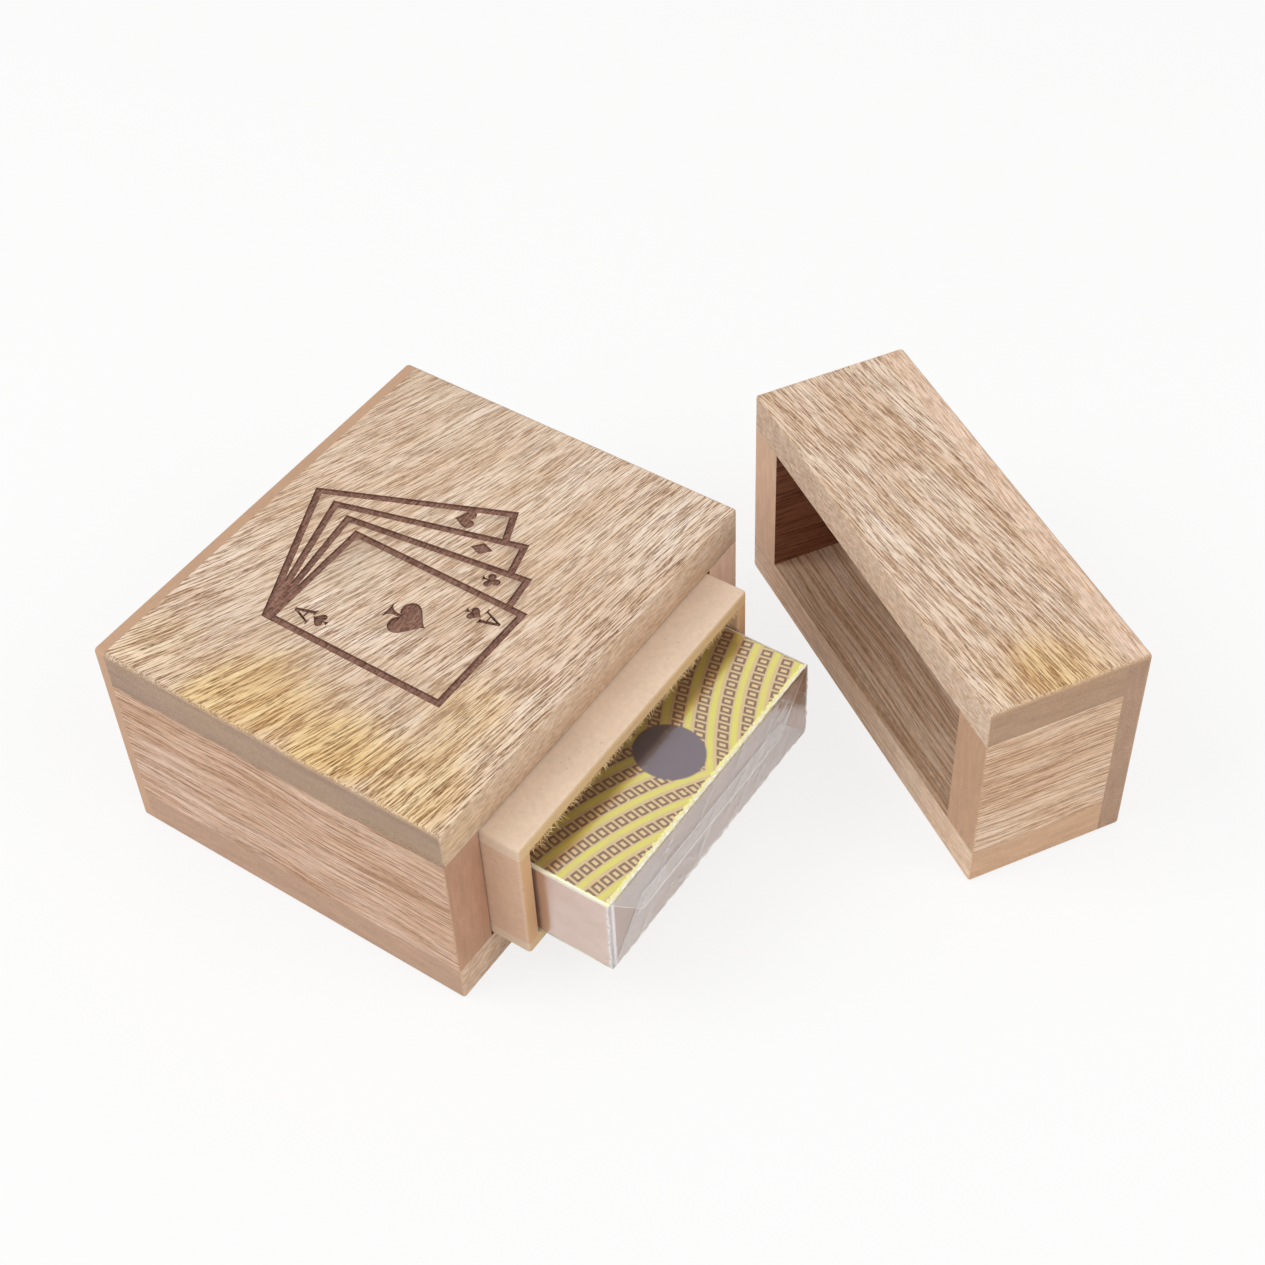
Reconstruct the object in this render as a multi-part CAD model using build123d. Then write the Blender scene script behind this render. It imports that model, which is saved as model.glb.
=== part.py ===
from build123d import *
import os

# A wooden box for one pack of playing cards, in millimetres. The box and its pull-off cap are
# each glued up from five boards. A fibreboard sleeve is glued into the box, stands a little out
# of its mouth, carries the pack like a drawer and guides the cap. The cap is off, turned and set
# down beside the pack. +X is the way the pack slides out, Y runs across and +Z is up; the origin
# is the centre of the box's bottom face.

# ---- the stack of cards ----
card_width = 63.5
card_length = 88.9
card_corner = 3.2
stack_height = 16.9

# ---- the tuck case, folded from one sheet of card ----
case_board = 0.45
case_side_play = 0.85       # each side of the cards
case_end_play = 0.75        # each end of the cards
case_head_play = 1.5        # over the cards
case_edge = 0.7             # outside radius of the folded edges
card_seat = 0.05            # under the cards, over the tongue
tongue_length = 14.0        # tongue of the end flap, tucked in under the cards
tongue_inset = 2.5          # how far the tongue stays in from each side
tongue_corner = 6.0
thumb_notch = 9.0           # radius of the half-round notch under the end flap
dust_flap_length = 16.0
dust_flap_taper = 3.0
flap_play = 0.3             # between a folded flap and the walls beside it
glue_tab = 13.0             # height of the tab inside the side seam

# ---- the clear film round the case ----
film = 0.08
film_slack = 0.07           # between case and film
film_edge = 0.8             # outside radius of the film's long edges
fold_slope = 0.8            # run of an end fold's slanted side, as a share of its height
fold_reach = 0.62           # how far each end fold covers the end, as a share of the height
seam_width = 6.0            # overlap of the film along one side

# ---- the fibreboard sleeve ----
sleeve_board = 3.0
pack_side_play = 0.4        # each side of the pack
pack_under_play = 0.2
pack_headroom = 5.0
pack_end_play = 0.3         # behind the pack when it is pushed home
sleeve_reach = 8.6          # how far the sleeve stands out of the box
sleeve_edge = 0.8           # rounded outer edges
sleeve_mouth_edge = 0.35

# ---- the box and the cap ----
sleeve_play = 0.3           # glue line round the sleeve, and the cap's play on it
flat_board = 8.7            # top and bottom boards
side_board = 9.6
box_length = 79.4
box_end_board = 2.7
cap_length = 33.1
cap_end_board = 5.0
outer_edge = 0.9            # sanded outer edges
mouth_edge = 0.4            # sawn edges round both mouths

# ---- where the loose pieces stand ----
pack_drawn = 9.0            # how far the pack is drawn out of its home
cap_ahead = 25.4            # centre of the cap's mouth, ahead of the box's mouth
cap_aside = 51.2
cap_turn = 58.0             # degrees

# ---- sizes that follow ----
case_width = card_width + 2 * (case_side_play + case_board)
case_length = card_length + 2 * (case_end_play + case_board)
case_height = stack_height + case_head_play + 2 * case_board
film_width = case_width + 2 * (film_slack + film)
film_height = case_height + 2 * (film_slack + film)
film_length = case_length + 2 * (film_slack + film)
pack_length = film_length + 4 * film        # two folds lie over each end

bay_width = film_width + 2 * pack_side_play
bay_height = pack_under_play + film_height + pack_headroom
sleeve_width = bay_width + 2 * sleeve_board
sleeve_height = bay_height + 2 * sleeve_board
cavity_width = sleeve_width + 2 * sleeve_play
cavity_height = sleeve_height + 2 * sleeve_play
box_width = cavity_width + 2 * side_board
box_height = cavity_height + 2 * flat_board

mouth_x = box_length / 2
cavity_depth = box_length - box_end_board
sleeve_length = cavity_depth - sleeve_play + sleeve_reach
sleeve_floor = flat_board + sleeve_play
bay_floor = sleeve_floor + sleeve_board
pack_floor = bay_floor + pack_under_play
pack_home_x = mouth_x - cavity_depth + pack_end_play + pack_length
pack_front_x = pack_home_x + pack_drawn


def slab(x0, x1, y0, y1, z0, z1):
    """A plain block between two corners."""
    return Pos((x0 + x1) / 2, (y0 + y1) / 2, (z0 + z1) / 2) * Box(x1 - x0, y1 - y0, z1 - z0)


def write(name, solid):
    solid.label = name
    export_step(solid, f"parts/{name}.step")
    print(f"{name:22s} {len(solid.solids())} solid  {solid.volume / 1000:8.2f} cm3")


def glued_box(length, end_board):
    """Five boards of an open box: mouth at x = 0, end board at x = length, bottom at z = 0.

    The block is sanded round as a whole and then parted at its glue lines, so the rounding
    runs on from one board to the next."""
    block = slab(0, length, -box_width / 2, box_width / 2, 0, box_height)
    at_mouth = block.faces().sort_by(Axis.X)[0]
    mouth_edges = at_mouth.edges()
    sanded = [e for e in block.edges() if e not in mouth_edges]
    block = fillet(sanded, outer_edge)
    block = fillet(block.faces().sort_by(Axis.X)[0].edges(), mouth_edge)

    inside = length - end_board
    half = box_width / 2
    lid_z = box_height - flat_board
    return {
        "top_panel": block & slab(0, inside, -half, half, lid_z, box_height),
        "bottom_panel": block & slab(0, inside, -half, half, 0, flat_board),
        "side_right": block & slab(0, inside, -half, -half + side_board, flat_board, lid_z),
        "side_left": block & slab(0, inside, half - side_board, half, flat_board, lid_z),
        "end_panel": block & slab(inside, length, -half, half, 0, box_height),
    }


def sleeve_boards():
    """Four boards of the sleeve: front edge at x = 0, back end at x = -sleeve_length.

    Top and bottom run over the edges of the two side strips."""
    half = sleeve_width / 2
    block = slab(-sleeve_length, 0, -half, half, 0, sleeve_height)
    long_edges = block.edges().filter_by(Axis.X)
    front_edges = block.faces().sort_by(Axis.X)[-1].edges()
    block = fillet(long_edges + front_edges, sleeve_edge)
    bay = slab(-sleeve_length, 0, -bay_width / 2, bay_width / 2,
               sleeve_board, sleeve_height - sleeve_board)
    block = block - bay
    front = block.faces().sort_by(Axis.X)[-1]
    block = fillet(front.inner_wires()[0].edges(), sleeve_mouth_edge)

    lid_z = sleeve_height - sleeve_board
    back = -sleeve_length
    return {
        "sleeve_top": block & slab(back, 0, -half, half, lid_z, sleeve_height),
        "sleeve_bottom": block & slab(back, 0, -half, half, 0, sleeve_board),
        "sleeve_side_right": block & slab(back, 0, -half, 0, sleeve_board, lid_z),
        "sleeve_side_left": block & slab(back, 0, 0, half, sleeve_board, lid_z),
    }


def tuck_case():
    """The folded case as one sheet: front end at x = 0, back end at x = -case_length, z up from 0.

    The front flap folds down from the top wall and its tongue tucks in under the cards, behind
    the thumb notch of the bottom wall. Dust flaps fold in behind both ends."""
    inner_width = case_width - 2 * case_board
    inner_height = case_height - 2 * case_board
    inner_edge = case_edge - case_board
    section = Plane.YZ * Pos(0, case_height / 2) * (
        RectangleRounded(case_width, case_height, case_edge)
        - RectangleRounded(inner_width, inner_height, inner_edge))
    case = extrude(section, -case_length)

    case -= Cylinder(thumb_notch, 2 * case_board)

    end_face = Plane.YZ * Pos(0, case_height / 2) * RectangleRounded(
        inner_width + case_board, inner_height + case_board, inner_edge + case_board / 2)
    front_flap = extrude(end_face, -case_board)
    back_flap = Pos(-case_length, 0, 0) * extrude(end_face, case_board)

    tongue_half = inner_width / 2 - tongue_inset
    tongue = slab(-tongue_length, 0, -tongue_half, tongue_half, case_board, 2 * case_board)
    tongue = fillet(tongue.faces().sort_by(Axis.X)[0].edges().filter_by(Axis.Z), tongue_corner)

    def dust_flap(side):
        root = side * inner_width / 2
        tip = root - side * dust_flap_length
        low, high = 2 * case_board + flap_play, case_height - case_board - flap_play
        outline = Polyline((root, low), (tip, low + dust_flap_taper),
                           (tip, high - dust_flap_taper), (root, high), close=True)
        return extrude(Plane.YZ * make_face(outline), case_board)

    for side in (-1, 1):
        case += Pos(-2 * case_board, 0, 0) * dust_flap(side)
        case += Pos(-case_length + case_board, 0, 0) * dust_flap(side)

    tab_half = inner_width / 2
    tab_low = case_board + (inner_height - glue_tab) / 2
    tab = slab(-case_length + 2 * case_board + flap_play, -2 * case_board - flap_play,
               tab_half - case_board, tab_half, tab_low, tab_low + glue_tab)
    return case + front_flap + back_flap + tongue + tab


def film_wrap():
    """The clear film: a closed skin with two slanted folds over each end and a side overlap.

    Its front face is at x = 0 and its underside at z = 0."""
    fold = 2 * film
    outer = Pos(-fold - film_length / 2, 0, film_height / 2) * Box(
        film_length, film_width, film_height)
    outer = fillet(outer.edges().filter_by(Axis.X), film_edge)
    hollow = Pos(-fold - film_length / 2, 0, film_height / 2) * Box(
        film_length - 2 * film, film_width - 2 * film, film_height - 2 * film)
    wrap = outer - hollow

    half = film_width / 2 - film_edge
    reach = fold_reach * film_height

    def end_fold(low, high):
        run = fold_slope * abs(high - low)
        outline = Polyline((-half, low), (half, low), (half - run, high),
                           (-half + run, high), close=True)
        return Plane.YZ * make_face(outline)

    lower = end_fold(film_edge, reach)
    upper = end_fold(film_height - film_edge, film_height - reach)
    front, back = -fold, -fold - film_length
    wrap += Pos(front, 0, 0) * extrude(lower, film)
    wrap += Pos(front, 0, 0) * extrude(upper, fold)
    wrap += Pos(back, 0, 0) * extrude(lower, -film)
    wrap += Pos(back, 0, 0) * extrude(upper, -fold)

    seam_low = (film_height - seam_width) / 2
    seam = slab(back, front, film_width / 2, film_width / 2 + film,
                seam_low, seam_low + seam_width)
    return wrap + seam


os.makedirs("parts", exist_ok=True)

# The box: its mouth faces +X, so the boards are turned half round.
box_place = Pos(mouth_x, 0, 0) * Rot(0, 0, 180)
for name, board in glued_box(box_length, box_end_board).items():
    # Turned round, the board on the -Y side lands on the +Y side.
    name = {"side_right": "side_left", "side_left": "side_right"}.get(name, name)
    write("box_" + name, box_place * board)

# The sleeve, glued into the box.
sleeve_place = Pos(mouth_x + sleeve_reach, 0, sleeve_floor)
for name, board in sleeve_boards().items():
    write(name, sleeve_place * board)

# The cap, taken off and turned.
cap_place = Pos(mouth_x + cap_ahead, cap_aside, 0) * Rot(0, 0, cap_turn)
for name, board in glued_box(cap_length, cap_end_board).items():
    write("cap_" + name, cap_place * board)

# The pack, part way out of the sleeve.
film_gap = film_slack + film
case_place = Pos(pack_front_x - 2 * film - film_gap, 0, pack_floor + film_gap)
write("card_wrap", Pos(pack_front_x, 0, pack_floor) * film_wrap())
write("tuck_case", case_place * tuck_case())

stack_z = 2 * case_board + card_seat
stack = extrude(RectangleRounded(card_length, card_width, card_corner), stack_height)
write("card_stack", case_place * Pos(-case_length / 2, 0, stack_z) * stack)

print(f"box {box_length:.1f} x {box_width:.1f} x {box_height:.1f}, cap {cap_length:.1f} long")
print(f"pack {pack_length:.2f} x {film_width:.2f} x {film_height:.2f}, front at {pack_front_x:.2f}")
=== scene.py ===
import math
import random

import bmesh
import bpy
from mathutils import Matrix, Vector, noise
from mathutils.geometry import delaunay_2d_cdt


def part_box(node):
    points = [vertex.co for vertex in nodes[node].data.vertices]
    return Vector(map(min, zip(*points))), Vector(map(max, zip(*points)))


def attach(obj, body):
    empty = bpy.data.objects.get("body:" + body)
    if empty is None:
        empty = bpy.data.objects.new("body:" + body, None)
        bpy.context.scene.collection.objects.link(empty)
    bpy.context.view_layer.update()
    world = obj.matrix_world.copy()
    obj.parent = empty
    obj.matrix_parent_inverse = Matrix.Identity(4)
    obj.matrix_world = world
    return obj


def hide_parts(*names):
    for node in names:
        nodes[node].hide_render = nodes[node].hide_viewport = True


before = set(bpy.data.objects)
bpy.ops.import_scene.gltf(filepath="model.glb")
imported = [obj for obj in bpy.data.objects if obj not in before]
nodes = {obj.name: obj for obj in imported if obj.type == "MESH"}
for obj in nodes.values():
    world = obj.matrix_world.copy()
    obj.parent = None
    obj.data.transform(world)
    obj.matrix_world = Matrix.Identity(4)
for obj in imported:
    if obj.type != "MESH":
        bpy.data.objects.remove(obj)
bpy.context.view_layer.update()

MM = 0.001


# ---- The camera and the studio ----
# The camera stands where the photograph was taken from, in front of the box and to its right.
# The studio is a pale table top under a white room, one large soft lamp and a weaker one.

def linear(code):
    """A colour written as sRGB hex, as linear red, green, blue and alpha."""
    parts = [int(code[i:i + 2], 16) / 255 for i in (1, 3, 5)]
    return [c / 12.92 if c <= 0.04045 else ((c + 0.055) / 1.055) ** 2.4 for c in parts] + [1.0]


def add(tree, kind, inputs=None, **settings):
    """Adds a node. inputs gives, by a socket's name or number, its value or what to link to it:
    another node's socket, or the node itself for its first output in use."""
    node = tree.nodes.new(kind)
    for name, value in settings.items():
        setattr(node, name, value)
    for key, value in (inputs or {}).items():
        if isinstance(value, bpy.types.Node):
            value = next(out for out in value.outputs if out.enabled)
        if isinstance(value, bpy.types.NodeSocket):
            tree.links.new(value, node.inputs[key])
        else:
            node.inputs[key].default_value = value
    return node


def new_material(name):
    """An empty node material, and its tree."""
    material = bpy.data.materials.new(name)
    material.use_nodes = True
    material.node_tree.nodes.clear()
    return material, material.node_tree


def seen_white(tree):
    """1 where the eye sees the studio itself, straight, mirrored or through film, and 0 where
    the studio only lights the object."""
    ray = add(tree, "ShaderNodeLightPath")
    seen = add(tree, "ShaderNodeMath", {
        0: ray.outputs["Is Camera Ray"], 1: ray.outputs["Is Glossy Ray"]}, operation="MAXIMUM")
    return add(tree, "ShaderNodeMath", {0: seen, 1: ray.outputs["Is Transmission Ray"]},
        operation="MAXIMUM")


def in_scene(name, mesh):
    """A mesh as an object at the origin."""
    obj = bpy.data.objects.new(name, mesh)
    bpy.context.scene.collection.objects.link(obj)
    return obj


# The camera's place, angles and lens are fitted to the object's corners in the photograph.
eye = Vector((0.20021, -0.20805, 0.34501))
yaw, pitch, roll = math.radians(126.2167), math.radians(47.7012), math.radians(-2.7864)
forward = Vector((math.cos(yaw) * math.cos(pitch), math.sin(yaw) * math.cos(pitch),
    -math.sin(pitch)))
level = Vector((math.sin(yaw), -math.cos(yaw), 0))
upward = level.cross(forward)
right = math.cos(roll) * level + math.sin(roll) * upward
above = math.cos(roll) * upward - math.sin(roll) * level
camera_data = bpy.data.cameras.new("camera")
camera_data.lens = 63.10
camera_data.sensor_width = 36.0
camera_data.clip_start = 0.01
camera = bpy.data.objects.new("camera", camera_data)
bpy.context.scene.collection.objects.link(camera)
aimed = Matrix((right, above, -forward)).transposed().to_4x4()
camera.matrix_world = Matrix.Translation(eye) @ aimed
bpy.context.scene.camera = camera
bpy.context.scene.view_settings.view_transform = "Standard"

# Matt white card. Its glow makes it nearly white to the eye, and it keeps a faint shadow.
card_glow = 0.80
table_card, tree = new_material("matt_white_table_card")
lit_share = add(tree, "ShaderNodeMath", {0: seen_white(tree), 1: card_glow}, operation="MULTIPLY")
card = add(tree, "ShaderNodeBsdfDiffuse", {"Color": linear("#F1F0EE")})
glow = add(tree, "ShaderNodeEmission")
both = add(tree, "ShaderNodeMixShader", {0: lit_share, 1: card, 2: glow})
add(tree, "ShaderNodeOutputMaterial", {"Surface": both})

table_size = 4.0
floor_mesh = bpy.data.meshes.new("table_top")
half = table_size / 2
floor_mesh.from_pydata([(-half, -half, 0), (half, -half, 0), (half, half, 0), (-half, half, 0)],
    [], [(0, 1, 2, 3)])
floor_mesh.materials.append(table_card)
in_scene("table_top", floor_mesh)

room_strength = 0.59
world = bpy.data.worlds.new("white_room")
world.use_nodes = True
tree = world.node_tree
tree.nodes.clear()
room_light = add(tree, "ShaderNodeBackground", {"Color": (1, 1, 1, 1), "Strength": room_strength})
room_white = add(tree, "ShaderNodeBackground", {"Color": (1, 1, 1, 1)})
both = add(tree, "ShaderNodeMixShader", {0: seen_white(tree), 1: room_light, 2: room_white})
add(tree, "ShaderNodeOutputWorld", {"Surface": both})
bpy.context.scene.world = world

lamp_size = 0.6
lit_middle = Vector((0.02, 0.0, 0.02))
for name, place, power in (("key_lamp", (-0.42, -0.45, 0.80), 3.9),
                           ("fill_lamp", (0.70, 0.05, 0.70), 2.5)):
    lamp = bpy.data.lights.new(name, "AREA")
    lamp.size = lamp_size
    lamp.energy = power
    stand = bpy.data.objects.new(name, lamp)
    bpy.context.scene.collection.objects.link(stand)
    stand.location = place
    aim = lit_middle - Vector(place)
    stand.rotation_euler = aim.to_track_quat("-Z", "Y").to_euler()


# ---- The box boards ----
# Five boards of raw mango wood, planed, glued with their edges flush and sanded round together.
# The flat top and bottom have their grain across the box, and the side boards along it.

# Plain-sawn mango wood: pinkish tan with dark open pores that show as short brown streaks, a
# softer figure of paler and darker bands, and darker, freckled end grain. Only sanded, so matt.
pale_wood, mid_wood, deep_wood = "#F6E7D8", "#EFDBC7", "#DEC4AB"
# The last of these is a painted shade, laid on the inner faces of the box and the cap.
pore_brown, yellow_sap, inner_shade_brown = "#6C4223", "#FFEFB4", "#C69A78"


def mango_wood(name, grain, across, depth, turn=0.0, centre=(0, 0), lean=0.0, fan=0.0,
               wave=0.5, wave_length=30.0, pores=1.0, pore_length=5.5, pore_width=0.26,
               edge_pores=0.3, tint="#FFFFFF", end="#BB9E88", edge="#E0C6AE", inside=None,
               stains=(), offset=0.0):
    """Mango wood for one board, in mm. grain, across and depth number the board's own axes, and
    turn and centre bring a turned board back to them. lean and fan slant the streaks. pores is
    how dark they are on the faces, and edge_pores what share of that the narrow edges show.
    tint colours the whole board, edge its narrow edges, end its end grain, and inside (axis,
    side, colour) darkens an inner face with painted shade. stains are (x, y, z, radius, strength)."""
    material, tree = new_material(name)
    coords = add(tree, "ShaderNodeTexCoord")
    back = Matrix.Rotation(-turn, 2) @ Vector(centre)
    place = add(tree, "ShaderNodeMapping", {
        "Vector": coords.outputs["Object"], "Location": (-back.x, -back.y, 0),
        "Rotation": (0, 0, -turn), "Scale": (1000, 1000, 1000)})
    facing = add(tree, "ShaderNodeMapping", {
        "Vector": coords.outputs["Normal"], "Rotation": (0, 0, -turn)}, vector_type="VECTOR")
    mm = add(tree, "ShaderNodeSeparateXYZ", {0: place})

    # The streaks lean and fan out a little, and wander as the trunk grew.
    slant = add(tree, "ShaderNodeMath", {0: mm.outputs[across], 1: fan, 2: lean},
        operation="MULTIPLY_ADD")
    aside = add(tree, "ShaderNodeMath", {0: slant, 1: mm.outputs[grain]}, operation="MULTIPLY")
    straight = add(tree, "ShaderNodeMath", {0: mm.outputs[across], 1: aside}, operation="SUBTRACT")
    drift = add(tree, "ShaderNodeTexNoise", {
        "Vector": place, "Scale": 1 / wave_length, "Detail": 1.0})
    drift = add(tree, "ShaderNodeMapRange", {0: drift, 1: 0.25, 2: 0.75, 3: -wave, 4: wave})
    lane = add(tree, "ShaderNodeMath", {0: straight, 1: drift})
    fibre_run = add(tree, "ShaderNodeCombineXYZ", {
        0: mm.outputs[grain], 1: lane, 2: mm.outputs[depth]})

    def along_grain(length, width, detail, shift):
        """Noise drawn out along the grain, in features of that length and width in mm."""
        stretched = add(tree, "ShaderNodeMapping", {
            "Vector": fibre_run, "Location": (shift, shift * 0.7, offset),
            "Scale": (1 / length, 1 / width, 1 / width)})
        return add(tree, "ShaderNodeTexNoise", {
            "Vector": stretched, "Scale": 1.0, "Detail": detail, "Roughness": 0.6})

    # The broad figure, the fibres, and the pores that the plane cut open.
    figure = along_grain(22, 2.2, 3.0, 3.1)
    wide = along_grain(46, 13, 1.0, 9.4)
    fibres = along_grain(1.6, 0.2, 3.0, 5.7)
    fine_pores = along_grain(pore_length, pore_width, 1.5, 1.3)
    bold_pores = along_grain(pore_length * 2.0, pore_width * 1.35, 1.0, 7.9)

    body = add(tree, "ShaderNodeValToRGB", {0: figure})
    stops = body.color_ramp.elements
    stops[0].position, stops[0].color = 0.32, linear(deep_wood)
    stops[1].position, stops[1].color = 0.66, linear(pale_wood)
    middle = stops.new(0.47)
    middle.color = linear(mid_wood)
    warm = add(tree, "ShaderNodeMapRange", {0: wide, 1: 0.35, 2: 0.65, 4: 0.5})
    body = add(tree, "ShaderNodeMix", {0: warm, 6: body, 7: linear("#E0C2A6")}, data_type="RGBA")

    # The narrow edges are cut the other way through the rings: smoother, greyer and clouded.
    normal = add(tree, "ShaderNodeSeparateXYZ", {0: facing})
    narrow = add(tree, "ShaderNodeMath", {0: normal.outputs[across]}, operation="ABSOLUTE")
    narrow = add(tree, "ShaderNodeMapRange", {0: narrow, 1: 0.6, 2: 0.9})
    cloud = add(tree, "ShaderNodeTexNoise", {
        "Vector": place, "Scale": 1 / 3.0, "Detail": 4.0, "Roughness": 0.7})
    cloud = add(tree, "ShaderNodeMapRange", {0: cloud, 1: 0.3, 2: 0.7, 3: 0.86, 4: 1.10})
    clouded = add(tree, "ShaderNodeVectorMath", {0: linear(edge)[:3], "Scale": cloud},
        operation="SCALE")
    share = add(tree, "ShaderNodeMath", {0: narrow, 1: 0.8}, operation="MULTIPLY")
    body = add(tree, "ShaderNodeMix", {0: share, 6: body, 7: clouded}, data_type="RGBA")
    light = add(tree, "ShaderNodeMapRange", {0: fibres, 1: 0.3, 2: 0.7, 3: 0.80, 4: 1.16})
    body = add(tree, "ShaderNodeVectorMath", {0: body, "Scale": light}, operation="SCALE")

    # The wood is stained warm beside its pores.
    stained = add(tree, "ShaderNodeMapRange", {0: fine_pores, 1: 0.44, 2: 0.56, 4: 0.6})
    body = add(tree, "ShaderNodeMix", {0: stained, 6: body, 7: linear("#E6CFB4")},
        data_type="RGBA", blend_type="MULTIPLY")

    # Streaks where a pore was cut open: many fine ones, and fewer that are long and bold.
    fine = add(tree, "ShaderNodeMapRange", {0: fine_pores, 1: 0.52, 2: 0.58, 4: 0.80},
        interpolation_type="SMOOTHSTEP")
    bold = add(tree, "ShaderNodeMapRange", {0: bold_pores, 1: 0.575, 2: 0.635, 4: 0.90},
        interpolation_type="SMOOTHSTEP")
    streak = add(tree, "ShaderNodeMath", {0: fine, 1: bold}, operation="MAXIMUM")
    broken = add(tree, "ShaderNodeMapRange", {0: fibres, 1: 0.4, 2: 0.6, 3: 1.0, 4: 0.4})
    streak = add(tree, "ShaderNodeMath", {0: streak, 1: broken}, operation="MULTIPLY")
    open_pores = add(tree, "ShaderNodeMapRange", {0: narrow, 3: pores, 4: pores * edge_pores})
    streak = add(tree, "ShaderNodeMath", {0: streak, 1: open_pores}, operation="MULTIPLY")
    body = add(tree, "ShaderNodeMix", {0: streak, 6: body, 7: linear(pore_brown)},
        data_type="RGBA")

    # Patches where yellow sapwood or old glue shows through.
    for x, y, z, radius, strength in stains:
        from_patch = add(tree, "ShaderNodeVectorMath", {
            0: place, 1: (x, y, z)}, operation="DISTANCE")
        ragged = add(tree, "ShaderNodeMapRange", {
            0: wide, 1: 0.3, 2: 0.7, 3: -radius * 0.3, 4: radius * 0.3})
        reach = add(tree, "ShaderNodeMath", {0: from_patch, 1: ragged})
        patch = add(tree, "ShaderNodeMapRange", {
            0: reach, 1: radius * 0.2, 2: radius, 3: strength, 4: 0.0},
            interpolation_type="SMOOTHSTEP")
        body = add(tree, "ShaderNodeMix", {0: patch, 6: body, 7: linear(yellow_sap)},
            data_type="RGBA", blend_type="MULTIPLY")

    # End grain drinks in dirt and light, so it is darker, with faint rings and no streaks.
    ends = add(tree, "ShaderNodeMath", {0: normal.outputs[grain]}, operation="ABSOLUTE")
    ends = add(tree, "ShaderNodeMapRange", {0: ends, 1: 0.55, 2: 0.9, 4: 0.92})
    rings = add(tree, "ShaderNodeMapping", {
        "Vector": fibre_run, "Location": (0, offset, 0), "Scale": (1 / 6, 1 / 9, 1 / 1.3)})
    rings = add(tree, "ShaderNodeTexNoise", {
        "Vector": rings, "Scale": 1.0, "Detail": 4.0, "Roughness": 0.7})
    rings = add(tree, "ShaderNodeMapRange", {0: rings, 1: 0.3, 2: 0.7, 3: 0.88, 4: 1.12})
    sawn_end = add(tree, "ShaderNodeVectorMath", {0: linear(end)[:3], "Scale": rings},
        operation="SCALE")
    body = add(tree, "ShaderNodeMix", {0: ends, 6: body, 7: sawn_end}, data_type="RGBA")

    # Inner faces are made browner: a painted shade for the hollows inside the box and the cap.
    if inside:
        axis, side, brown = inside
        inner = add(tree, "ShaderNodeMapRange", {
            0: normal.outputs[axis], 1: side * 0.5, 2: side * 0.9})
        body = add(tree, "ShaderNodeMix", {0: inner, 6: body, 7: linear(brown)}, data_type="RGBA",
            blend_type="MULTIPLY")

    # Sanded arrises are rubbed a little paler than the faces beside them.
    size = add(tree, "ShaderNodeVectorMath", {0: facing}, operation="ABSOLUTE")
    size = add(tree, "ShaderNodeVectorMath", {0: size, 1: (1, 1, 1)}, operation="DOT_PRODUCT")
    arris = add(tree, "ShaderNodeMapRange", {0: size, 1: 1.06, 2: 1.35, 4: 0.28})
    body = add(tree, "ShaderNodeMix", {0: arris, 6: body, 7: linear("#DDBD9A")}, data_type="RGBA")
    body = add(tree, "ShaderNodeMix", {0: 1.0, 6: body, 7: linear(tint)}, data_type="RGBA",
        blend_type="MULTIPLY")

    rough = add(tree, "ShaderNodeMapRange", {0: streak, 2: 0.8, 3: 0.58, 4: 0.80})
    relief = add(tree, "ShaderNodeMath", {0: fibres, 1: 0.5, 2: 0.0}, operation="MULTIPLY_ADD")
    relief = add(tree, "ShaderNodeMath", {0: relief, 1: streak}, operation="SUBTRACT")
    bump = add(tree, "ShaderNodeBump", {"Height": relief, "Strength": 0.55, "Distance": 0.12 * MM})
    skin = add(tree, "ShaderNodeBsdfPrincipled", {
        "Base Color": body, "Roughness": rough, "IOR": 1.45, "Specular IOR Level": 0.35,
        "Normal": bump})
    add(tree, "ShaderNodeOutputMaterial", {"Surface": skin})
    return material


def dress(node, material):
    """Gives a CAD node its material."""
    for seat in nodes[node].material_slots:
        seat.material = material


X, Y, Z = 0, 1, 2
top_wood = mango_wood("sanded_mango_box_top", Y, X, Z, lean=0.27, fan=-0.0045, end="#A98D7A",
    edge="#E6CDB6", inside=(Z, -1, inner_shade_brown), stains=((-9, -43, 49, 17, 0.75),
    (9, -40, 49, 16, 0.8), (30, -41, 49, 14, 0.6), (27, -22, 49, 13, 0.45),
    (-30, -40, 49, 11, 0.3)))
dress("box_bottom_panel", mango_wood("sanded_mango_box_bottom", Y, X, Z, lean=0.1, offset=4.0,
    end="#C7A289", edge="#E2C6AE", inside=(Z, 1, inner_shade_brown)))
# The left board's end grain is painted paler than the right board's: painted light on its mouth
# end, which the lamps leave in shade.
for node, offset, out_side, end in (("box_side_right", 11.0, 1, "#C4A187"),
                                    ("box_side_left", 17.0, -1, "#F6E0CC")):
    dress(node, mango_wood(f"sanded_mango_{node}", X, Z, Y, wave=1.4, wave_length=34, pores=0.6,
        pore_length=14, pore_width=0.32, offset=offset, tint="#F4E4DC", end=end,
        inside=(Y, out_side, inner_shade_brown)))


# ---- The engraved box top ----
# The top board again, with a fan of four aces burnt into it by laser, about a third of a
# millimetre deep. The fan is drawn here by its own rule: cards turned about one shared corner.

engraving_depth = 0.34 * MM
wall_run, foot_run = 0.13 * MM, 0.2 * MM
# The drawing is in mm. Each card is turned, and shows a little more of its width, than the last.
line_width = 1.5
card_long, card_wide = 40.4, 26.6
fan_turn, fan_slide = math.radians(7.5), 2.55
fan_pivot, pivot_step = Vector((-18.1, -23.7)), Vector((-0.25, 0.0))


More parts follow.
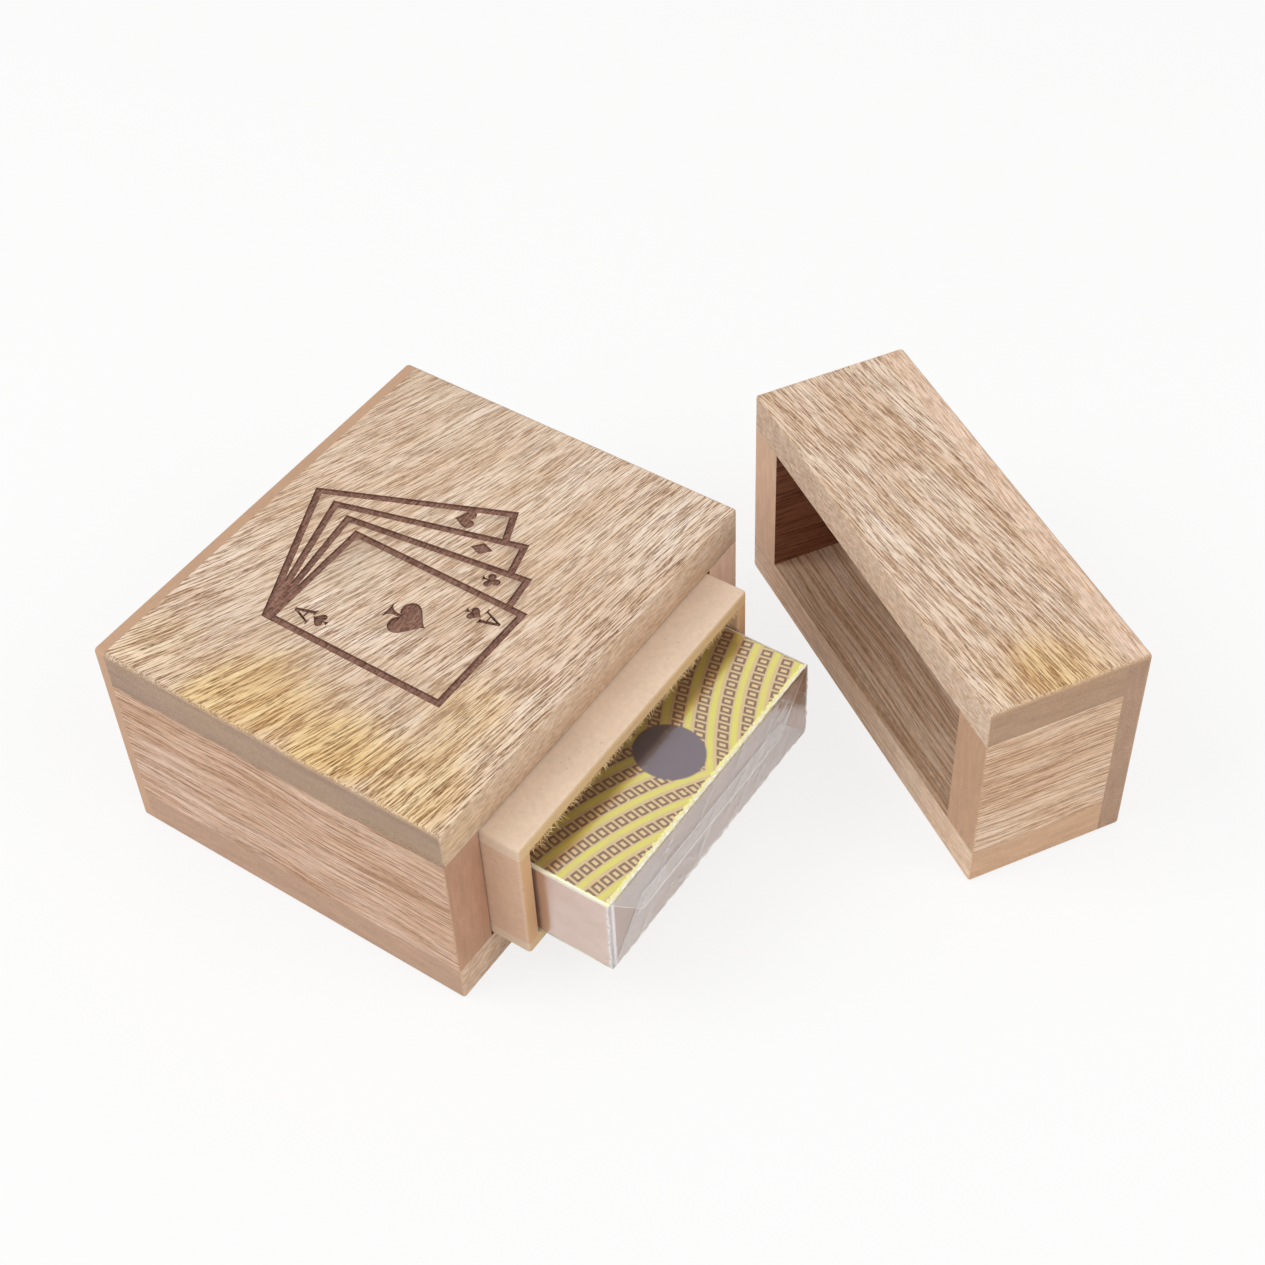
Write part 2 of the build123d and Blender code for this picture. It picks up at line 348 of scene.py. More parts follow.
def heart(steps=40):
    """A heart of unit height with its tip down."""
    points = []
    for i in range(steps):
        t = 2 * math.pi * i / steps
        x = 16 * math.sin(t) ** 3
        y = 13 * math.cos(t) - 5 * math.cos(2 * t) - 2 * math.cos(3 * t) - math.cos(4 * t)
        points.append((x / 29, (y + 2.5) / 29))
    return [points]


def stem(top, foot, width):
    """The flared stem under a spade or a club."""
    side = [(0.035, top), (0.05, foot + 0.16), (width * 0.55, foot + 0.05), (width, foot)]
    return [side + [(-x, y) for x, y in reversed(side)]]


def disc(x, y, radius, steps=18):
    return [(x + radius * math.cos(2 * math.pi * i / steps),
        y + radius * math.sin(2 * math.pi * i / steps)) for i in range(steps)]


def spade():
    leaf = [(x * 0.86, 0.12 - y * 0.80) for x, y in heart()[0]]
    return [leaf] + stem(-0.1, -0.5, 0.22)


def club():
    return [disc(0, 0.27, 0.21), disc(-0.24, -0.07, 0.21), disc(0.24, -0.07, 0.21),
        disc(0, 0.02, 0.14)] + stem(0.1, -0.48, 0.2)


def diamond():
    return [[(0, 0.5), (-0.34, 0), (0, -0.5), (0.34, 0)]]


def letter_a():
    """A plain capital with short serifs."""
    bar = 0.075
    thin = [(-0.04, 0.5), (0.10, 0.5), (-0.30, -0.5), (-0.40, -0.5)]
    thick = [(-0.06, 0.5), (0.10, 0.5), (0.42, -0.5), (0.22, -0.5)]
    cross = [(-0.22, -0.18), (0.22, -0.18), (0.22, -0.18 + bar), (-0.22, -0.18 + bar)]
    feet = [[(x - 0.16, -0.5), (x + 0.16, -0.5), (x + 0.16, -0.44), (x - 0.16, -0.44)]
        for x in (-0.35, 0.32)]
    return [thin, thick, cross] + feet


def card_outline(k, inset):
    """Corners of card k of the fan, front card 0, drawn in from its edge by inset (mm)."""
    a = fan_turn * k
    u, v = Vector((math.cos(a), math.sin(a))), Vector((-math.sin(a), math.cos(a)))
    start = fan_pivot + pivot_step * k
    tall = card_wide + fan_slide * k
    return [start + u * x + v * y for x, y in ((inset, inset), (card_long - inset, inset),
        (card_long - inset, tall - inset), (inset, tall - inset))]


def on_card(k, shapes, x, y, size, half_turn=False):
    """Shapes laid on card k with their top towards +X, centred at x, y from its far corner."""
    a = fan_turn * k
    u, v = Vector((math.cos(a), math.sin(a))), Vector((-math.sin(a), math.cos(a)))
    corner = card_outline(k, 0)[3]
    sign = -1 if half_turn else 1
    return [[corner + u * (x + sign * size * py) + v * (y - sign * size * px) for px, py in shape]
        for shape in shapes]


# Each outline is listed with its card and what it is, the front card first.
drawn = []
for k in range(4):
    drawn.append((k, "card", card_outline(k, 0)))
    drawn.append((k, "inside", card_outline(k, line_width)))
pips = on_card(0, spade(), 22.3, -12.9, 8.6)
for half_turn, x, y in ((False, 35.7, -4.9), (True, 5.4, -21.9)):
    side = -1 if half_turn else 1
    pips += on_card(0, letter_a(), x, y, 4.1, half_turn)
    pips += on_card(0, spade(), x - side * 3.75, y - side * 0.3, 3.3, half_turn)
drawn += [(0, "pip", shape) for shape in pips]
for k, shapes, size in ((1, club(), 3.9), (2, diamond(), 4.5), (3, heart(), 4.2)):
    drawn += [(k, "pip", shape) for shape in on_card(k, shapes, 35.1 - 1.5 * k, -3.55, size)]

# The CAD board's flat top is cut out, and put back as flat wood round the engraved shapes.
board = bmesh.new()
board.from_mesh(nodes["box_top_panel"].data)
bmesh.ops.remove_doubles(board, verts=board.verts, dist=1e-7)
top_z = max(v.co.z for v in board.verts)
flat = [f for f in board.faces if all(v.co.z > top_z - 1e-7 for v in f.verts)]
bmesh.ops.delete(board, geom=flat, context="FACES_ONLY")
open_edges = [e for e in board.edges if e.is_boundary]
rim = [open_edges[0].verts[0], open_edges[0].verts[1]]
while True:
    step = [e.other_vert(rim[-1])
        for e in rim[-1].link_edges if e.is_boundary and e.other_vert(rim[-1]) is not rim[-2]]
    if step[0] is rim[0]:
        break
    rim.append(step[0])
bmesh.ops.delete(board, geom=[e for e in board.edges if not e.link_faces], context="EDGES")


def anticlockwise(shape):
    area = sum(a.cross(b) for a, b in zip(shape, shape[1:] + shape[:1]))
    return shape if area > 0 else shape[::-1]


if anticlockwise([v.co.xy for v in rim])[0] != rim[0].co.xy:
    rim.reverse()
points, faces = [v.co.xy / MM for v in rim], [list(range(len(rim)))]
for _, _, shape in drawn:
    faces.append(list(range(len(points), len(points) + len(shape))))
    points += anticlockwise([Vector(p) for p in shape])
spots, _, tiles, from_points, _, from_faces = delaunay_2d_cdt(points, [], faces, 1, 1e-4)


def engraved(sources):
    """True where the front-most card over a spot has a line or a pip."""
    found = {(drawn[i - 1][0], drawn[i - 1][1]) for i in sources if i > 0}
    for k in range(4):
        if (k, "card") in found:
            return (k, "inside") not in found or (k, "pip") in found
    return False


corners = []
for spot, sources in zip(spots, from_points):
    old = [i for i in sources if i < len(rim)]
    corners.append(rim[old[0]] if old else board.verts.new((*(spot * MM), top_z)))
burnt = []
for tile, sources in zip(tiles, from_faces):
    if 0 not in sources:
        continue
    face = board.faces.new([corners[i] for i in tile])
    face.normal_update()
    if face.normal.z < 0:
        face.normal_flip()
    if engraved(sources):
        burnt.append(face)

# The burnt shapes sink by a steep wall. The walls and the wall's foot are darkened, partly deeper
# burn and partly painted shade of the recess.
burn_and_shade = board.verts.layers.float.new("burn_and_shade")
wall_burn_and_shade, foot_burn_and_shade, floor_burn_and_shade = 0.75, 1.0, 0.15
wall = bmesh.ops.inset_region(board, faces=burnt, thickness=wall_run, use_boundary=True,
    use_even_offset=False)["faces"]
for v in {v for f in wall for v in f.verts}:
    v[burn_and_shade] = wall_burn_and_shade
foot = bmesh.ops.inset_region(board, faces=burnt, thickness=foot_run, use_boundary=True,
    use_even_offset=False)["faces"]
for v in {v for f in burnt for v in f.verts}:
    v[burn_and_shade] = floor_burn_and_shade
for v in {v for f in foot for v in f.verts}:
    if any(w in wall for w in v.link_faces):
        v[burn_and_shade] = foot_burn_and_shade
for f in wall + burnt + foot:
    f.material_index = 1
for v in {v for f in burnt + foot for v in f.verts}:
    v.co.z = top_z - engraving_depth
top_mesh = bpy.data.meshes.new("engraved_box_top")
board.to_mesh(top_mesh)
board.free()
top_mesh.shade_smooth()
top_mesh.set_sharp_from_angle(angle=math.radians(25))
top_mesh.materials.append(top_wood)

# Laser-burnt wood: a matt, mottled brown, darkened at the walls and their foot by burn and painted
# shade of the recess together, with the open grain still showing through as darker threads.
burn, tree = new_material("laser_burnt_mango")
coords = add(tree, "ShaderNodeTexCoord")
threads = add(tree, "ShaderNodeMapping", {
    "Vector": coords.outputs["Object"], "Rotation": (0, 0, math.radians(15)),
    "Scale": (1 / (0.3 * MM), 1 / (2.5 * MM), 1000)})
threads = add(tree, "ShaderNodeTexNoise", {"Vector": threads, "Scale": 1.0, "Detail": 2.0})
mottle = add(tree, "ShaderNodeTexNoise", {
    "Vector": coords.outputs["Object"], "Scale": 1 / (0.7 * MM), "Detail": 3.0, "Roughness": 0.7})
tone = add(tree, "ShaderNodeMath", {0: threads, 1: mottle})
tone = add(tree, "ShaderNodeMapRange", {0: tone, 1: 0.75, 2: 1.25})
brown = add(tree, "ShaderNodeMix", {0: tone, 6: linear("#5E3D31"), 7: linear("#A27C6B")},
    data_type="RGBA")
# Darker towards the walls: burn and painted shade of the recess.
edge = add(tree, "ShaderNodeAttribute", attribute_name="burn_and_shade")
edge = add(tree, "ShaderNodeMath", {0: edge.outputs["Fac"], 1: 0.62}, operation="MULTIPLY")
brown = add(tree, "ShaderNodeMix", {0: edge, 6: brown, 7: linear("#452A22")}, data_type="RGBA")
bump = add(tree, "ShaderNodeBump", {"Height": tone, "Strength": 0.5, "Distance": 0.08 * MM})
skin = add(tree, "ShaderNodeBsdfPrincipled", {
    "Base Color": brown, "Roughness": 0.85, "Specular IOR Level": 0.2, "Normal": bump})
add(tree, "ShaderNodeOutputMaterial", {"Surface": skin})
top_mesh.materials.append(burn)

box_top = in_scene("engraved_box_top", top_mesh)
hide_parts("box_top_panel")
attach(box_top, "box")


# ---- The sleeve and the box's end board ----
# Four strips of thin fibreboard glued into a flat tube that holds the pack and guides the cap,
# and a fifth one that closes the box. Sawn and lightly sanded, so the edges are a little woolly.

# Medium-density fibreboard: an even tan felt of fine wood fibres, smooth and slightly sheeny on
# its pressed faces, and yellower and fluffy where it was sawn.
def fibreboard(name, pressed, sawn_axis, face="#E6CDB4", edge="#DDBC90", tint="#FFFFFF"):
    """Fibreboard with its pressed faces across the axis pressed, and sawn edges on sawn_axis."""
    material, tree = new_material(name)
    coords = add(tree, "ShaderNodeTexCoord")
    flat_way = [1 / (1.2 * MM), 1 / (1.2 * MM), 1 / (1.2 * MM)]
    flat_way[pressed] = 1 / (0.25 * MM)
    felt = add(tree, "ShaderNodeMapping", {"Vector": coords.outputs["Object"], "Scale": flat_way})
    felt = add(tree, "ShaderNodeTexNoise", {
        "Vector": felt, "Scale": 1.0, "Detail": 4.0, "Roughness": 0.7})
    cloud = add(tree, "ShaderNodeTexNoise", {
        "Vector": coords.outputs["Object"], "Scale": 1 / (16 * MM), "Detail": 2.0})
    specks = add(tree, "ShaderNodeTexVoronoi", {
        "Vector": coords.outputs["Object"], "Scale": 1 / (2.6 * MM)})
    speck = add(tree, "ShaderNodeMapRange", {
        0: specks.outputs["Distance"], 1: 0.05, 2: 0.11, 3: 0.25, 4: 0.0})
    light = add(tree, "ShaderNodeMapRange", {0: felt, 1: 0.3, 2: 0.7, 3: 0.93, 4: 1.06})
    broad = add(tree, "ShaderNodeMapRange", {0: cloud, 1: 0.3, 2: 0.7, 3: 0.95, 4: 1.04})
    light = add(tree, "ShaderNodeMath", {0: light, 1: broad}, operation="MULTIPLY")
    normal = add(tree, "ShaderNodeSeparateXYZ", {0: coords.outputs["Normal"]})
    sawn = add(tree, "ShaderNodeMath", {0: normal.outputs[sawn_axis]}, operation="ABSOLUTE")
    sawn = add(tree, "ShaderNodeMapRange", {0: sawn, 1: 0.6, 2: 0.8})
    body = add(tree, "ShaderNodeMix", {0: sawn, 6: linear(face), 7: linear(edge)},
        data_type="RGBA")
    body = add(tree, "ShaderNodeVectorMath", {0: body, "Scale": light}, operation="SCALE")
    body = add(tree, "ShaderNodeMix", {0: speck, 6: body, 7: linear("#8A6A50")}, data_type="RGBA")
    body = add(tree, "ShaderNodeMix", {0: 1.0, 6: body, 7: linear(tint)}, data_type="RGBA",
        blend_type="MULTIPLY")
    bump = add(tree, "ShaderNodeBump", {"Height": felt, "Strength": 0.35, "Distance": 0.08 * MM})
    skin = add(tree, "ShaderNodeBsdfPrincipled", {
        "Base Color": body, "Roughness": 0.62, "Specular IOR Level": 0.35, "Normal": bump})
    add(tree, "ShaderNodeOutputMaterial", {"Surface": skin})
    return material


flat_strip = fibreboard("sanded_fibreboard_flat", Z, X)
dress("sleeve_top", flat_strip)
dress("sleeve_bottom", flat_strip)
upright_strip = fibreboard("sanded_fibreboard_upright", Y, X, tint="#F8EAE4")
dress("sleeve_side_right", upright_strip)
dress("sleeve_side_left", upright_strip)
dress("box_end_panel", fibreboard("sanded_fibreboard_end", X, Z, face="#D2B599", edge="#C6AA8E",
    tint="#F8EAE4"))


# ---- The woolly edge of the sleeve ----
# Loose wood fibres stand out of the sawn lower edge of the sleeve's top strip, where it was cut
# through and not sanded.

low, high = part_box("sleeve_top")
fibre_line = bpy.data.meshes.new("woolly_edge")
line_inset, line_half = 0.1 * MM, 33.4 * MM
fibre_line.from_pydata([(high.x - line_inset, y, low.z + line_inset)
    for y in (-line_half, line_half)], [(0, 1)], [])
fibres = in_scene("woolly_edge", fibre_line)
fibres_group = bpy.data.node_groups.new("fibres_on_an_edge", "GeometryNodeTree")
sockets = fibres_group.interface
sockets.new_socket("Geometry", in_out="INPUT", socket_type="NodeSocketGeometry")
for name, kind, value in (("Fibre count", "NodeSocketInt", 480),
                          ("Fibre length", "NodeSocketFloat", 1.5 * MM),
                          ("Fibre radius", "NodeSocketFloat", 0.1 * MM),
                          ("Seed", "NodeSocketInt", 7)):
    socket = sockets.new_socket(name, in_out="INPUT", socket_type=kind)
    socket.default_value = value
sockets.new_socket("Material", in_out="INPUT", socket_type="NodeSocketMaterial")
sockets.new_socket("Geometry", in_out="OUTPUT", socket_type="NodeSocketGeometry")
tree = fibres_group
given = add(tree, "NodeGroupInput")
curve = add(tree, "GeometryNodeMeshToCurve", {0: given.outputs["Geometry"]})
curve = add(tree, "GeometryNodeResampleCurve", {
    "Curve": curve, "Count": given.outputs["Fibre count"]})
# Each fibre starts a little off the line, and leans down and forwards in its own way.
scatter = add(tree, "FunctionNodeRandomValue", {
    0: (-0.2 * MM, -0.1 * MM, -0.05 * MM), 1: (0.25 * MM, 0.1 * MM, 0.25 * MM),
    "Seed": given.outputs["Seed"]}, data_type="FLOAT_VECTOR")
spots_on = add(tree, "GeometryNodeSetPosition", {"Geometry": curve, "Offset": scatter})
spots_on = add(tree, "GeometryNodeCurveToPoints", {"Curve": spots_on}, mode="EVALUATED")
hair = add(tree, "GeometryNodeMeshCone", {
    "Vertices": 4, "Side Segments": 2, "Radius Top": 0.0,
    "Radius Bottom": given.outputs["Fibre radius"], "Depth": given.outputs["Fibre length"]})
turn_seed = add(tree, "ShaderNodeMath", {0: given.outputs["Seed"], 1: 1.0})
turns = add(tree, "FunctionNodeRandomValue", {
    0: (-0.9, math.radians(95), -0.9), 1: (0.9, math.radians(190), 0.9), "Seed": turn_seed},
    data_type="FLOAT_VECTOR")
size_seed = add(tree, "ShaderNodeMath", {0: given.outputs["Seed"], 1: 2.0})
sizes = add(tree, "FunctionNodeRandomValue", {2: 0.25, 3: 1.0, "Seed": size_seed},
    data_type="FLOAT")
# The fibres are longest at the near end, where the saw tore the board.
at = add(tree, "GeometryNodeInputPosition")
at = add(tree, "ShaderNodeSeparateXYZ", {0: at.outputs[0]})
torn = add(tree, "ShaderNodeMapRange", {
    0: at.outputs[1], 1: -34 * MM, 2: -16 * MM, 3: 1.4, 4: 0.95})
sizes = add(tree, "ShaderNodeMath", {0: sizes, 1: torn}, operation="MULTIPLY")
grown = add(tree, "GeometryNodeInstanceOnPoints", {
    "Points": spots_on, "Instance": hair, "Rotation": turns, "Scale": sizes})
grown = add(tree, "GeometryNodeRealizeInstances", {0: grown})
grown = add(tree, "GeometryNodeSetMaterial", {
    "Geometry": grown, "Material": given.outputs["Material"]})
add(tree, "NodeGroupOutput", {0: grown})

# Loose wood fibre: pale, matt, and drawn thicker than the real one so that it shows.
wool, tree = new_material("loose_wood_fibre")
coords = add(tree, "ShaderNodeTexCoord")
shade = add(tree, "ShaderNodeTexNoise", {
    "Vector": coords.outputs["Object"], "Scale": 1 / (1.1 * MM)})
shade = add(tree, "ShaderNodeMapRange", {0: shade, 1: 0.35, 2: 0.65})
tan = add(tree, "ShaderNodeMix", {0: shade, 6: linear("#D8B27A"), 7: linear("#F2DDB2")},
    data_type="RGBA")
skin = add(tree, "ShaderNodeBsdfPrincipled", {
    "Base Color": tan, "Roughness": 0.8, "Specular IOR Level": 0.2})
add(tree, "ShaderNodeOutputMaterial", {"Surface": skin})

grow = fibres.modifiers.new("fibres", "NODES")
grow.node_group = fibres_group
for item in sockets.items_tree:
    if item.in_out == "INPUT" and item.name == "Material":
        grow[item.identifier] = wool
depsgraph = bpy.context.evaluated_depsgraph_get()
plain = bpy.data.meshes.new_from_object(fibres.evaluated_get(depsgraph))
fibres.modifiers.clear()
fibres.data = plain
plain.materials.clear()
plain.materials.append(wool)
plain.polygons.foreach_set("material_index", [0] * len(plain.polygons))
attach(fibres, "box")


# ---- The cap boards ----
# Five boards of the same wood, glued and sanded as the box is. The cap stands off the box,
# turned, with its mouth towards it.

cap_turn = math.radians(58)
cap_centre = (65.1, 51.2)
cap_place = {"turn": cap_turn, "centre": cap_centre}
dress("cap_top_panel", mango_wood("sanded_mango_cap_top", Y, X, Z, lean=-0.13, pores=0.85,
    offset=23.0, tint="#FBF7F3", end="#B9987E", edge="#F2DECB", inside=(Z, -1, inner_shade_brown),
    stains=((15, -42, 48, 14, 0.65),), **cap_place))
dress("cap_bottom_panel", mango_wood("sanded_mango_cap_bottom", Y, X, Z, pores=0.45,
    pore_length=24, pore_width=0.45, offset=29.0, end="#D2AF93", edge="#F6E2D2", tint="#FFF8EE",
    **cap_place))
dress("cap_side_right", mango_wood("sanded_mango_cap_right", X, Z, Y, wave=0.9, pores=0.55,
    pore_length=12, pore_width=0.32, offset=31.0, tint="#FBEFE4", end="#CDAC92",
    inside=(Y, 1, inner_shade_brown), **cap_place))
# This board's inner face takes a deeper painted shade.
dress("cap_side_left", mango_wood("sanded_mango_cap_left", X, Z, Y, wave=0.9, pores=0.7,
    pore_length=12, pore_width=0.32, offset=37.0, tint="#FBEEE2", end="#F4DCC6",
    inside=(Y, -1, "#B08C7C"), **cap_place))
dress("cap_end_panel", mango_wood("sanded_mango_cap_end", Y, Z, X, edge_pores=0.35, offset=41.0,
    edge="#F4E2D2", tint="#F8EEE6", inside=(X, -1, inner_shade_brown), **cap_place))


# ---- The tuck case ----
# The cards' own case, folded from one printed sheet of card. The broad face has rows of small
# open links between gold bands that meet in pointed arches, a pattern made up here by rule, and
# a plain dark oval. The narrow ends are a plain pinkish brown.

case_low, case_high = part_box("tuck_case")
band_pitch, link_pitch = 4.3 * MM, 2.1 * MM
arch_ahead, arch_aside, middle_y = 62 * MM, 46 * MM, 1.3 * MM
oval_centre, oval_half = (53.9, 1.3), (7.0, 6.3)
raw_width, gap_shade_width, soft_edge, fold_width = 1.8 * MM, 1.0 * MM, 0.1 * MM, 1.2 * MM

# Foil-laminated card: gold and brown inks over thin metal foil, so it mirrors its surroundings
# softly. Along the folds a bright yellow-white is painted, partly cracked foil and partly a
# painted glint.
printed, tree = new_material("gold_foil_laminated_case_card")
coords = add(tree, "ShaderNodeTexCoord")
on_case = coords.outputs["Object"]
# Two families of arcs, struck about points ahead of the case, meet in points on its middle.
to_centre = add(tree, "ShaderNodeVectorMath", {
    0: (case_high.x + arch_ahead, middle_y, 0), 1: on_case}, operation="SUBTRACT")
part = add(tree, "ShaderNodeSeparateXYZ", {0: to_centre})
aside = add(tree, "ShaderNodeMath", {0: part.outputs[1]}, operation="ABSOLUTE")
aside = add(tree, "ShaderNodeMath", {0: arch_aside, 1: aside}, operation="SUBTRACT")
flat_way = add(tree, "ShaderNodeCombineXYZ", {0: part.outputs[0], 1: aside})
radius = add(tree, "ShaderNodeVectorMath", {0: flat_way}, operation="LENGTH")
angle = add(tree, "ShaderNodeMath", {0: aside, 1: part.outputs[0]}, operation="ARCTAN2")
arc = add(tree, "ShaderNodeMath", {0: angle, 1: radius}, operation="MULTIPLY")
band = add(tree, "ShaderNodeMath", {0: radius, 1: 1 / band_pitch}, operation="MULTIPLY")
band = add(tree, "ShaderNodeMath", {0: band}, operation="FRACT")
row = add(tree, "ShaderNodeMath", {0: arc, 1: 1 / link_pitch}, operation="MULTIPLY")
row = add(tree, "ShaderNodeMath", {0: band, 1: -0.4, 2: row}, operation="MULTIPLY_ADD")
row = add(tree, "ShaderNodeMath", {0: row}, operation="FRACT")
# A link is a slanted rectangle, and its outline is drawn by how far (mm) a spot is outside it.
sides = []
for cell, middle, pitch, half_size in ((row, 0.5, link_pitch, 0.36),
                                       (band, 0.63, band_pitch, 0.62)):
    off = add(tree, "ShaderNodeMath", {0: cell, 1: middle}, operation="SUBTRACT")
    off = add(tree, "ShaderNodeMath", {0: off}, operation="ABSOLUTE")
    sides.append(add(tree, "ShaderNodeMath", {0: off, 1: pitch / MM, 2: -half_size},
        operation="MULTIPLY_ADD"))
outside = add(tree, "ShaderNodeMath", {0: sides[0], 1: sides[1]}, operation="MAXIMUM")
inner_line = add(tree, "ShaderNodeMapRange", {0: outside, 1: -0.10, 2: 0.06})
outer_line = add(tree, "ShaderNodeMapRange", {0: outside, 1: 0.36, 2: 0.52, 3: 1.0, 4: 0.12})
ink = add(tree, "ShaderNodeMath", {0: inner_line, 1: outer_line}, operation="MULTIPLY")
strip = add(tree, "ShaderNodeMath", {0: band, 1: 0.17}, operation="SUBTRACT")
strip = add(tree, "ShaderNodeMath", {0: strip}, operation="ABSOLUTE")
strip = add(tree, "ShaderNodeMapRange", {0: strip, 1: 0.08, 2: 0.18, 3: 1.0, 4: 0.0})
patchy = add(tree, "ShaderNodeTexNoise", {"Vector": on_case, "Scale": 1 / (5 * MM), "Detail": 3.0})
patchy = add(tree, "ShaderNodeMapRange", {0: patchy, 1: 0.35, 2: 0.65, 3: 0.75, 4: 1.0})
strip = add(tree, "ShaderNodeMath", {0: strip, 1: patchy}, operation="MULTIPLY")
face_print = add(tree, "ShaderNodeMix", {0: ink, 6: linear("#E3C795"), 7: linear("#835F3C")},
    data_type="RGBA")
face_print = add(tree, "ShaderNodeMix", {0: strip, 6: face_print, 7: linear("#E2DB5C")},
    data_type="RGBA")
# The dark oval sits near the front edge.
oval_place = add(tree, "ShaderNodeMapping", {
    "Vector": on_case, "Location": (-oval_centre[0] / oval_half[0], -oval_centre[1] / oval_half[1],
    0), "Scale": (1 / (oval_half[0] * MM), 1 / (oval_half[1] * MM), 0)})
oval = add(tree, "ShaderNodeVectorMath", {0: oval_place}, operation="LENGTH")
oval = add(tree, "ShaderNodeMapRange", {0: oval, 1: 0.97, 2: 1.03, 3: 1.0, 4: 0.0})
face_print = add(tree, "ShaderNodeMix", {0: oval, 6: face_print, 7: linear("#6E5F69")},
    data_type="RGBA")

cloud = add(tree, "ShaderNodeTexNoise", {"Vector": on_case, "Scale": 1 / (9 * MM), "Detail": 3.0})
side_print = add(tree, "ShaderNodeMix", {0: cloud, 6: linear("#C4A08E"), 7: linear("#E6CFC4")},
    data_type="RGBA")
normal = add(tree, "ShaderNodeSeparateXYZ", {0: coords.outputs["Normal"]})
front = add(tree, "ShaderNodeMath", {0: normal.outputs[0]}, operation="ABSOLUTE")
front = add(tree, "ShaderNodeMapRange", {0: front, 1: 0.45, 2: 0.6})
end_print = add(tree, "ShaderNodeMix", {0: cloud, 6: linear("#8A624A"), 7: linear("#C09B86")},
    data_type="RGBA")
side_print = add(tree, "ShaderNodeMix", {0: front, 6: side_print, 7: end_print}, data_type="RGBA")
# By the near upright corner the end flap's raw board shows white, beside a dark line of painted
# shade for the gap at its edge.
here = add(tree, "ShaderNodeSeparateXYZ", {0: on_case})
from_corner = add(tree, "ShaderNodeMath", {
    0: here.outputs[1], 1: case_low.y}, operation="SUBTRACT")
raw = add(tree, "ShaderNodeMapRange", {
    0: from_corner, 1: raw_width + soft_edge, 2: raw_width - soft_edge})
raw = add(tree, "ShaderNodeMath", {0: raw, 1: front}, operation="MULTIPLY")
side_print = add(tree, "ShaderNodeMix", {0: raw, 6: side_print, 7: linear("#F4EAEA")},
    data_type="RGBA")
# The dark line is painted shade in the gap.
gap_shade = add(tree, "ShaderNodeMapRange", {
    0: from_corner, 1: gap_shade_width + soft_edge, 2: gap_shade_width - soft_edge})
open_here = add(tree, "ShaderNodeMapRange", {0: cloud, 1: 0.40, 2: 0.6, 3: 0.9, 4: 0.5})
gap_shade = add(tree, "ShaderNodeMath", {0: gap_shade, 1: open_here}, operation="MULTIPLY")
gap_shade = add(tree, "ShaderNodeMath", {0: gap_shade, 1: front}, operation="MULTIPLY")
side_print = add(tree, "ShaderNodeMix", {0: gap_shade, 6: side_print, 7: linear("#3D373B")},
    data_type="RGBA")
broad = add(tree, "ShaderNodeMath", {0: normal.outputs[2]}, operation="ABSOLUTE")
broad = add(tree, "ShaderNodeMapRange", {0: broad, 1: 0.45, 2: 0.6})
body = add(tree, "ShaderNodeMix", {0: broad, 6: side_print, 7: face_print}, data_type="RGBA")
# Cracked foil and a painted glint along the folds: on the rounded ones by how far the surface has
# turned off its flat faces, and along the front fold by how near it is.
turned_off = add(tree, "ShaderNodeVectorMath", {0: coords.outputs["Normal"]}, operation="ABSOLUTE")
turned_off = add(tree, "ShaderNodeVectorMath", {
    0: turned_off, 1: (1, 1, 1)}, operation="DOT_PRODUCT")
crack_and_glint_noise = add(tree, "ShaderNodeTexNoise", {
    "Vector": on_case, "Scale": 1 / (0.9 * MM), "Detail": 3.0, "Roughness": 0.7})
wear_and_glint = add(tree, "ShaderNodeMapRange", {0: turned_off, 1: 1.02, 2: 1.25, 3: 0.0, 4: 0.35})
ahead = add(tree, "ShaderNodeMapRange", {
    0: here.outputs[0], 1: case_high.x - fold_width, 2: case_high.x - 0.3 * MM, 4: 0.5})
high_up = add(tree, "ShaderNodeMapRange", {
    0: here.outputs[2], 1: case_high.z - fold_width, 2: case_high.z - 0.1 * MM})
fold = add(tree, "ShaderNodeMath", {0: ahead, 1: high_up}, operation="MULTIPLY")
wear_and_glint = add(tree, "ShaderNodeMath", {0: wear_and_glint, 1: fold}, operation="MAXIMUM")
wear_and_glint = add(tree, "ShaderNodeMath", {0: wear_and_glint, 1: crack_and_glint_noise})
wear_and_glint = add(tree, "ShaderNodeMapRange", {0: wear_and_glint, 1: 0.68, 2: 0.76})
body = add(tree, "ShaderNodeMix", {0: wear_and_glint, 6: body, 7: linear("#F8F390")}, data_type="RGBA")
bump = add(tree, "ShaderNodeBump", {"Height": cloud, "Strength": 0.4, "Distance": 0.1 * MM})
skin = add(tree, "ShaderNodeBsdfPrincipled", {
    "Base Color": body, "Metallic": 0.85, "Roughness": 0.22, "Normal": bump})
add(tree, "ShaderNodeOutputMaterial", {"Surface": skin})
dress("tuck_case", printed)


# ---- The cards ----
# A full pack of linen-finished playing cards in a block, seen only through the case's thumb
# notch. White card with hair-thin dark lines of painted shade between the cards' edges.

